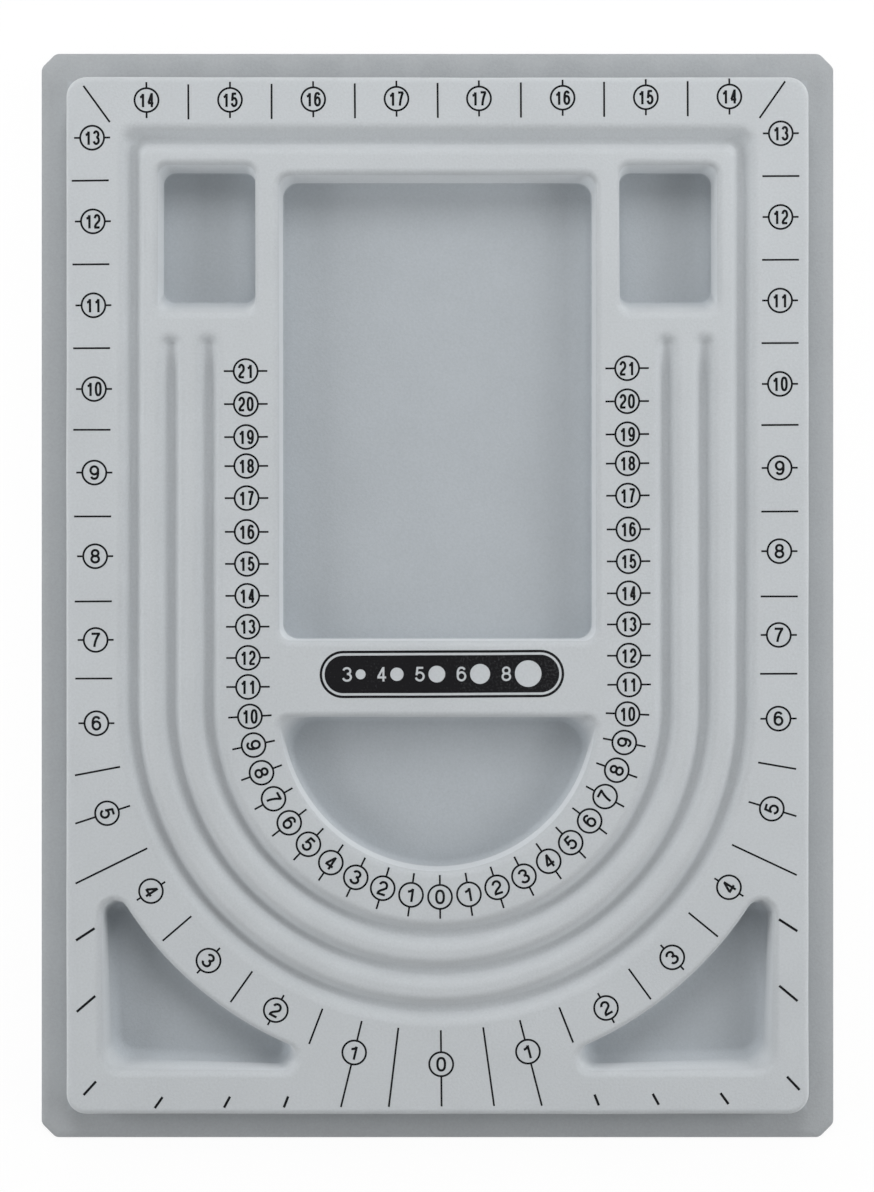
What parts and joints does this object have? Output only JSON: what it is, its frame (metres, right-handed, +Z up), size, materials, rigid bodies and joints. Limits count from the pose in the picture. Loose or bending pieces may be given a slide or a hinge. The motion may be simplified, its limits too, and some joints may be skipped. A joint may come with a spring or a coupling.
{
  "type": "bead board",
  "caption": "Bead design board: a flocked tray of formed sheet with a flat flange, a raised panel, curved channels for laying out strands and recessed bins for loose beads.",
  "frame": {"origin": "middle of the footprint, on the surface that the board lies on", "axes": "+Z up out of the flocked face, +Y along the board towards the small bins, +X to the right seen from above"},
  "size_m": [0.2414, 0.3302, 0.0127],
  "materials": {
    "grey_sheet": "satin",
    "grey_flock": "matte"
  },
  "bodies": {
    "root": {"formed_tray": "grey_sheet", "flock_lining": "grey_flock"}
  },
  "joints": []
}
